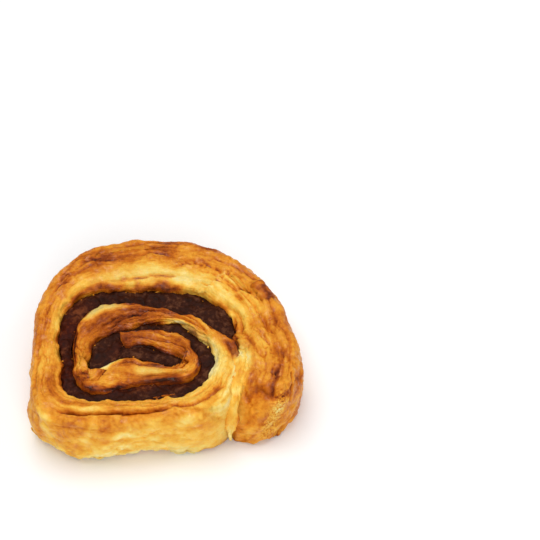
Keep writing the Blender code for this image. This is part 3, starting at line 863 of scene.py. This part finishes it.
# The filling: a sheet of dark cinnamon paste, spread on the dough before it was rolled and
# baked with it. It shows as a rough matte band between the wraps, a little below them, with
# a thick blob where the roll begins and a broad end at the back right.
FILLING_ALONG, FILLING_ROUND, FILLING_TOP = 620, 56, 40
FILLING_SINK, FILLING_FOOT, FILLING_BULGE = 0.9 * MM, 0.8 * MM, 0.7 * MM
FILLING_LAP = 0.45 * MM  # how far it reaches into the dough on each side
FILLING_WIDTH = 5 * MM  # about, for its UV map
FILLING_BAND = 0.6  # how far up its hidden sides their only points lie
FILLING_WEIGHTS = (0.1, 0.1, 0.2)  # how much of the mesh those sides get, next to 1 for its top
LUMP, GRAIN, GRIT = 1.05 * MM, 0.70 * MM, 0.28 * MM
SINKS = (  # turns, how much further it is sunk, spread in turns
    (0.74, -0.2 * MM, 0.10),
    (0.95, 0.6 * MM, 0.10),
    (1.36, -0.2 * MM, 0.10),
    (-0.25, -0.9 * MM, 0.15),
)
THINNEST, SYRUP_LEAST, SYRUP_CLOUDS = 0.5 * MM, 0.8, 0.8
LOBE, LOBE_AT, LOBE_SPREAD = 4.6 * MM, -0.05, 0.055  # the blob's corner, pressed into the dough
END_LAP = 0.8 * MM


def filling_inner(turns):
    """Plan point of the filling's inner side, which runs straight across the dough's beginning."""
    if abs(turns) >= DOUGH_START:
        return seam(turns) - outwards(turns) * (filling_inside(turns) + FILLING_LAP)
    before, after = filling_inner(-DOUGH_START), filling_inner(DOUGH_START)
    share = (turns / DOUGH_START + 1) / 2
    across = after - before
    away = Vector((-across.y, across.x)).normalized()
    return before + across * share - away * END_LAP * math.sqrt(max(1 - (2 * share - 1) ** 2, 0))


def filling_ring(turns):
    """Closed outline of the filling at one place, as points and lanes."""
    side = outwards(turns)
    inner = filling_inner(turns)
    lobe = LOBE * bell(turns - LOBE_AT, LOBE_SPREAD)
    outer = seam(turns) + side * (filling_outside(turns) + FILLING_LAP + lobe)
    if (outer - inner).length < THINNEST:
        inner, outer = seam(turns) - side * THINNEST / 2, seam(turns) + side * THINNEST / 2
    level = face_height(seam(turns)) - FILLING_SINK - swelling(SINKS, turns)
    top = np.linspace(1, 0, FILLING_TOP)
    wall = (FILLING_FOOT, FILLING_FOOT, FILLING_BAND * level)
    share = np.concatenate(([0.5, 1.0, 1.0], top, [0.0, 0.0, 0.5]))
    height = np.concatenate((wall, level + FILLING_BULGE * (1 - (2 * top - 1) ** 2), wall[::-1]))
    lane = np.concatenate(([2, 2, 1.5], top, [-0.5, -1, -1]))
    shown = np.concatenate((FILLING_WEIGHTS, np.ones(FILLING_TOP), FILLING_WEIGHTS[::-1]))
    return resample((inner, outer, share, height, lane, shown), FILLING_ROUND)


filling_turns, filling_run = walk(FILLING_START, FILLING_END, FILLING_ALONG, seam)
rings = [filling_ring(t) for t in filling_turns]
filling_points = np.array([ring[0] for ring in rings])
filling_lane = np.array([ring[1] for ring in rings])
crumbly = speckle(filling_points, (170, 170, 170), 4.2)
grainy = speckle(filling_points, (480, 480, 480), 9.9)
gritty = speckle(filling_points, (1100, 1100, 1100), 3.3)
on_face = ((filling_lane > -0.2) & (filling_lane < 1.2)).astype(float)
lumps = on_face * (LUMP * crumbly + GRAIN * grainy + GRIT * gritty)
filling_points = filling_points + normals(filling_points) * lumps[..., None]
SYRUPY = (  # turns, lane, how red, reach in turns, reach in lanes
    (1.03, 0.5, 0.9, 0.13, 1.5),
    (0.98, 1.0, 0.5, 0.10, 0.5),
    (-0.02, 0.0, 0.5, 0.06, 0.6),
    (0.72, 0.1, 0.8, 0.14, 0.35),
)
filling_where = np.repeat(filling_turns[:, None], FILLING_ROUND + 1, axis=1)
syrupy = patches(SYRUPY, filling_where, filling_lane) * (SYRUP_LEAST + SYRUP_CLOUDS * crumbly)
filling_strip = np.repeat(filling_run[:, None], FILLING_ROUND + 1, axis=1)
filling = swept("cinnamon_paste", filling_points, {
    "run": filling_strip, "over": filling_lane * FILLING_WIDTH, "syrupy": syrupy,
})
PASTE = ((0.37, srgb(32, 8, 0)), (0.52, srgb(54, 19, 4)), (0.65, srgb(98, 58, 36)))
SYRUP = (1.5, 0.8, 0.15, 1)  # what the paste's colour is multiplied by where it is syrupy


def paste_material():
    """Paste: dark, matte and grainy, redder where its sugar has melted to syrup."""
    material, tree, shader = new_material("dark cinnamon paste")
    grain, clouds = noise_at(tree, 620, 5, 0.65), noise_at(tree, 170, 3, 0.5)
    mixed = node(tree, "ShaderNodeMix", {"Factor": 0.5, 2: clouds, 3: grain}, data_type="FLOAT")
    paste = toned(tree, mixed.outputs[0], PASTE)
    colours = {"Factor": attribute(tree, "syrupy"), 6: paste, 7: SYRUP}
    redder = node(tree, "ShaderNodeMix", colours, data_type="RGBA", blend_type="MULTIPLY")
    wire(tree, shader, {
        "Base Color": redder.outputs[2],
        "Roughness": ranged(tree, clouds, 0, 1, 0.4, 0.85),
        "Specular IOR Level": 0.11,
        "Normal": bumped(tree, grain, 0.7, 0.4 * MM),
    })
    return material


filling.data.materials.append(paste_material())
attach(filling, "root")
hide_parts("filling")

# Flakes: thin leaves of the crust that came half loose as the roll rose, and curl up at one
# side or at both. They are on the rim at the back and its right, and low on the front wall.
FLAKES = (  # turns from and to, lane from and to, lift, how much paler than the crust under it
    (2.412, 2.446, 0.92, 1.12, 0.5, -0.05),
    (2.378, 2.420, 0.72, 0.86, 0.5, 0.14),
    (2.200, 2.270, 0.93, 1.00, 0.4, 0.04),
    (1.898, 1.922, 1.62, 1.84, 0.5, 0.08),
    (1.850, 1.880, 1.78, 1.95, 0.5, 0.06),
    (1.805, 1.835, 1.82, 1.95, 0.5, 0.06),
    (1.760, 1.785, 1.84, 1.96, 0.4, 0.06),
    (1.700, 1.730, 1.84, 1.96, 0.5, 0.06),
    (2.592, 2.606, 1.75, 1.93, 0.5, 0.08),
)
FLAKE_ALONG, FLAKE_ACROSS, FLAKE_THICK = 18, 12, 0.25 * MM
FLAKE_LONG, FLAKE_WIDE, FLAKE_SKIN = 12 * MM, 5 * MM, 0.3  # about, for their UV map
TORN, TORN_FINE, TORN_SHIFT, TORN_WIDTH = 0.22, 0.10, 0.15, 1.6
FLAKE_CLEAR, FLAKE_CURL, FLAKE_RIPPLE = 0.02, 0.75, 0.5
CURLED_DARK, TORN_DARK = 0.10, 0.2
dough_normals = normals(dough_points)


def on_dough(turns, lane):
    """Point, outward direction and browning, with its painted light and shade, of the dough's surface
    at a place on the strip.
    """
    row = int(np.searchsorted(dough_turns, turns))
    lanes = dough_lane[row, ::-1]
    point = [np.interp(lane, lanes, dough_points[row, ::-1, axis]) for axis in range(3)]
    out = [np.interp(lane, lanes, dough_normals[row, ::-1, axis]) for axis in range(3)]
    return Vector(point), Vector(out).normalized(), np.interp(lane, lanes, browned_and_painted_light[row, ::-1])


def crust_mesh():
    """An empty mesh, with the UV map and the attributes that the crust's material reads."""
    mesh = bmesh.new()
    floats = mesh.verts.layers.float
    return mesh, mesh.loops.layers.uv.new("strip"), floats.new("browned_and_painted_light"), floats.new("skin")


mesh, uv, browned_and_light_layer, skin_layer = crust_mesh()
for number, (turns_from, turns_to, lane_from, lane_to, lift, paler) in enumerate(FLAKES):
    grid = bmesh.ops.create_grid(mesh, x_segments=FLAKE_ALONG, y_segments=FLAKE_ACROSS, size=0.5)
    for vertex in grid["verts"]:
        along, over = vertex.co.x + 0.5, vertex.co.y + 0.5
        torn = 0.5 + 0.5 * math.sqrt(max(1 - (2 * along - 1) ** 4, 0))
        rag = TORN * noise.noise(Vector((6 * along, 2 * over, 7.3 * number)))
        rag += TORN_FINE * noise.noise(Vector((19 * along, 5 * over, 3.1 * number)))
        across = 0.5 + (over - 0.5) * torn * (1 + TORN_WIDTH * rag)
        shift = TORN_SHIFT * noise.noise(Vector((5 * over, 0.3, 5.9 * number)))
        turns = turns_from + (turns_to - turns_from) * min(max(along + shift, 0), 1)
        point, out, tone = on_dough(turns, lane_from + (lane_to - lane_from) * across)
        ripple = noise.noise(Vector((4 * along, 3 * over, 1.7 * number)))
        loose = abs(2 * over - 1) ** 2 if number % 2 else over**2
        curled = FLAKE_CURL * loose + FLAKE_RIPPLE * ripple * loose
        vertex.co = point + out * MM * (FLAKE_CLEAR + lift * curled)
        vertex.co.z = max(vertex.co.z, FLAKE_THICK)
        vertex[browned_and_light_layer] = tone - paler + CURLED_DARK * loose + TORN_DARK * rag
        vertex[skin_layer] = FLAKE_SKIN
        for loop in vertex.link_loops:
            loop[uv].uv = (along * FLAKE_LONG, over * FLAKE_WIDE)
bmesh.ops.recalc_face_normals(mesh, faces=mesh.faces)
flakes = finished("loose_flakes", mesh)
thick = flakes.modifiers.new("thickness", "SOLIDIFY")
thick.thickness = FLAKE_THICK
thick.offset = 0
flakes.data.materials.append(dough.data.materials[0])
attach(flakes, "root")

# Merged layers: where the tail lies against the roll, pale layers of both have baked together
# into a soft torn ridge, which runs from the filling's end down to the foot of the wall.
RIDGE_SPINE = (  # x, y, z, half width, how far it stands out, in mm
    (25.6, -13.0, 20.6, 1.2, 0.6),
    (27.0, -17.5, 21.8, 2.6, 1.0),
    (25.3, -24.0, 21.6, 3.1, 1.3),
    (23.0, -31.0, 20.2, 2.7, 1.5),
    (21.2, -36.3, 16.0, 2.1, 1.5),
    (20.4, -38.2, 9.5, 1.7, 1.3),
    (20.2, -38.6, 4.0, 1.2, 0.9),
    (20.1, -38.4, 1.4, 0.7, 0.6),
)
RIDGE_ALONG, RIDGE_ROUND = 170, 44
BENDS_FROM, BENDS_TO = 0.35, 0.62  # shares of its length between which it turns down the wall
SOFTENED, SOFTENED_REACH = 8, 18  # how far its corners are smoothed, in steps of its length
WALL_FACES = (0.1, -1, 0.1)
RIDGE_CLOSES, RIDGE_TIP, RIDGE_CLEAR = 3 * MM, 0.02, 0.2 * MM
RIDGE_TORN, RIDGE_TORN_FINE, RIDGE_GROOVES = 0.8, 0.4, 0.5
RIDGE_BROWN, RIDGE_CLOUDS, RIDGE_RAISED_PALE, RIDGE_SIDES_DARK = 0.24, 0.20, 0.25, 0.16
RIDGE_SKIN = 0.4
spine = np.array(RIDGE_SPINE) * MM
passed = np.concatenate(([0], np.cumsum(np.linalg.norm(np.diff(spine[:, :3], axis=0), axis=1))))
even = np.linspace(0, passed[-1], RIDGE_ALONG + 1)
knots = np.column_stack([np.interp(even, passed, column) for column in spine.T])
weights = hump(np.arange(-SOFTENED_REACH, SOFTENED_REACH + 1), SOFTENED)
weights = weights / weights.sum()
padded = np.pad(knots, ((SOFTENED_REACH, SOFTENED_REACH), (0, 0)), mode="edge")
knots = np.column_stack([np.convolve(column, weights, "valid") for column in padded.T])
ahead = np.gradient(knots[:, :3], axis=0)
ahead /= np.linalg.norm(ahead, axis=1, keepdims=True)
over_edge = limited((even / passed[-1] - BENDS_FROM) / (BENDS_TO - BENDS_FROM))[:, None]
out = np.array((0, 0, 1)) * (1 - over_edge) + np.array(WALL_FACES) * over_edge
out -= (out * ahead).sum(axis=1, keepdims=True) * ahead
out /= np.linalg.norm(out, axis=1, keepdims=True)
sideways = np.cross(ahead, out)
angle = np.linspace(0, TURN, RIDGE_ROUND + 1)
closing = np.clip(np.minimum(even, even[-1] - even) / RIDGE_CLOSES, RIDGE_TIP, 1)
closing = closing[:, None, None] ** 0.5
ridge_points = knots[:, None, :3] + closing * (
    sideways[:, None] * (knots[:, 3:4] * np.cos(angle))[..., None]
    + out[:, None] * (knots[:, 4:5] * np.sin(angle))[..., None]
)
ridge_along = np.repeat(even[:, None], RIDGE_ROUND + 1, axis=1)
ridge_across = knots[:, 3:4] * np.cos(angle)
ridge_strip = np.stack((ridge_along, ridge_across, np.zeros(ridge_along.shape)), axis=2)
torn = RIDGE_TORN * speckle(ridge_points, (230, 230, 150), 3.7)
torn += RIDGE_TORN_FINE * speckle(ridge_points, (600, 600, 300), 8.1)
torn -= RIDGE_GROOVES * grooves(ridge_strip, (90, 700, 0), 2.9, 0.12)
ridge_points = ridge_points + closing * torn[..., None] * MM * normals(ridge_points)
ridge_points[..., 2] = np.maximum(ridge_points[..., 2], RIDGE_CLEAR)
ridge_browned = RIDGE_BROWN + RIDGE_CLOUDS * speckle(ridge_points, (130, 130, 130), 5.9)
ridge_browned -= RIDGE_RAISED_PALE * torn
ridge_browned += RIDGE_SIDES_DARK * np.abs(np.cos(angle)) ** 3
ridge = swept("merged_layers", ridge_points, {
    "run": ridge_along, "over": ridge_across,
    "browned_and_painted_light": ridge_browned, "skin": np.full(torn.shape, RIDGE_SKIN),
})
ridge.data.materials.append(dough.data.materials[0])
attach(ridge, "root")

# Crumbs: small dry bits and shreds of the dough, which broke off its edges when the roll was
# cut and baked, and stick to the filling, mostly along its sides.
CRUMBS, CRUMB_SMALL, CRUMB_LARGE = 46, 0.14 * MM, 0.36 * MM
CRUMB_SUNK, CRUMB_UNEVEN, SHRED_UNEVEN, SHRED_THICK = 0.4, 0.5, 0.7, 0.5
CRUMB_EDGES, CRUMBS_FROM_END = (0.05, 0.95), 12  # lanes of the filling's edges, rows of its mesh
SHREDS = (  # turns and lane on the filling, length and width in mm, share browned
    (0.702, 0.72, 2.2, 0.34, 0.70),
    (0.716, 0.74, 3.0, 0.40, 0.66),
    (0.731, 0.75, 2.4, 0.34, 0.72),
    (1.258, 0.95, 1.1, 0.50, 0.55),
    (1.270, 0.90, 1.5, 0.55, 0.50),
    (1.284, 0.88, 1.0, 0.40, 0.60),
    (1.296, 0.94, 1.7, 0.60, 0.45),
    (1.312, 0.97, 1.0, 0.40, 0.55),
    (0.520, 0.90, 0.6, 0.9, 0.35),
    (0.545, 0.95, 0.5, 0.8, 0.45),
)
chance = random.Random(4)
mesh, uv, browned_and_light_layer, skin_layer = crust_mesh()
filling_normals = normals(filling_points)
for number in range(CRUMBS):
    row = chance.randrange(CRUMBS_FROM_END, FILLING_ALONG - CRUMBS_FROM_END)
    edge = chance.choice(CRUMB_EDGES)
    lane = edge + chance.uniform(-0.1, 0.1)
    column = int(np.argmin(np.abs(filling_lane[row] - lane)))
    size = CRUMB_SMALL + (CRUMB_LARGE - CRUMB_SMALL) * chance.random() ** 2
    ball = bmesh.ops.create_icosphere(mesh, subdivisions=2, radius=size)
    out = Vector(filling_normals[row, column])
    middle = Vector(filling_points[row, column]) + out * size * CRUMB_SUNK
    stretch = Vector((chance.uniform(0.7, 1.6), chance.uniform(0.7, 1.6), chance.uniform(0.5, 0.9)))
    tone = chance.uniform(0.5, 0.9)
    for vertex in ball["verts"]:
        lump = noise.noise(vertex.co / size * 1.3 + Vector((0, 0, 5.1 * number)))
        lump = 1 + CRUMB_UNEVEN * lump
        vertex.co = middle + vertex.co * stretch * lump
        vertex[browned_and_light_layer] = tone
        vertex[skin_layer] = 1
for number, (turns, lane, long, wide, tone) in enumerate(SHREDS):
    row = int(np.searchsorted(filling_turns, turns))
    column = int(np.argmin(np.abs(filling_lane[row] - lane)))
    middle, stretch = Vector(filling_points[row, column]), Vector((long, wide, SHRED_THICK))
    ball = bmesh.ops.create_icosphere(mesh, subdivisions=3, radius=0.5)
    for vertex in ball["verts"]:
        lump = 1 + SHRED_UNEVEN * noise.noise(vertex.co * 4 + Vector((0, 0, 3.7 * number)))
        vertex.co = middle + vertex.co * lump * stretch * MM
        vertex[browned_and_light_layer] = tone
        vertex[skin_layer] = 1
bmesh.ops.recalc_face_normals(mesh, faces=mesh.faces)
crumbs = finished("crumbs", mesh)
crumbs.data.materials.append(dough.data.materials[0])
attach(crumbs, "root")

# The table: a plain white matte surface that the roll lies on. It isn't part of the roll, and
# reaches well past what any view shows.
TABLE_REACH = 3
mesh = bmesh.new()
bmesh.ops.create_grid(mesh, x_segments=1, y_segments=1, size=TABLE_REACH)
table = finished("table", mesh)
white, tree, shader = new_material("white table")
wire(tree, shader, {"Base Color": (0.97, 0.97, 0.97, 1), "Roughness": 0.9})
table.data.materials.append(white)

# Light: a white surround and three large soft lamps: the key lamp high up, a little to the
# left and behind, a second in front, and a faint one at the right.
scene = bpy.context.scene
scene.view_settings.view_transform = "Standard"
world = bpy.data.worlds.new("bright studio")
scene.world = world
world.use_nodes = True
surround = world.node_tree.nodes["Background"]
wire(world.node_tree, surround, {"Color": (1, 1, 1, 1), "Strength": 0.25})
LAMPS = (  # name, place, side, power in watts
    ("key", (-0.22, 0.28, 1.50), 1.4, 18.6),
    ("front", (0.15, -1.40, 0.90), 0.9, 11.0),
    ("side", (1.20, 0.30, 0.90), 0.8, 3.0),
)
for name, place, side, power in LAMPS:
    lamp = bpy.data.lights.new(name, "AREA")
    lamp.size = side
    lamp.energy = power
    holder = bpy.data.objects.new(name, lamp)
    holder.location = place
    holder.rotation_euler = (-Vector(place)).to_track_quat("-Z", "Y").to_euler()
    scene.collection.objects.link(holder)

# Camera: in front of the roll and above it, looking down at the photo's angle and turned so
# that the roll lies in the frame where the photo shows it.
PHOTO_SIDE = 540
ELEVATION = math.radians(48)
DISTANCE, LENS, SENSOR = 0.53, 98, 36  # metres, and mm for the lens and its sensor
TARGET_UP = 12 * MM  # height in the roll that the camera goes round
ROLL_AT = (158.8, 335)  # pixel of the photo where the roll's middle lies
camera = bpy.data.objects.new("camera", bpy.data.cameras.new("camera"))
scene.collection.objects.link(camera)
camera.data.lens, camera.data.sensor_width = LENS, SENSOR
back = Vector((0, -math.cos(ELEVATION), math.sin(ELEVATION)))
up = Vector((0, math.sin(ELEVATION), math.cos(ELEVATION)))
per_pixel = DISTANCE * SENSOR / LENS / PHOTO_SIDE
target = Vector((0, 0, TARGET_UP))
aim = target + Vector((PHOTO_SIDE / 2 - ROLL_AT[0], 0, 0)) * per_pixel
aim += up * (ROLL_AT[1] - PHOTO_SIDE / 2) * per_pixel
camera.location = target + back * DISTANCE
camera.rotation_euler = (aim - camera.location).to_track_quat("-Z", "Y").to_euler()
scene.camera = camera
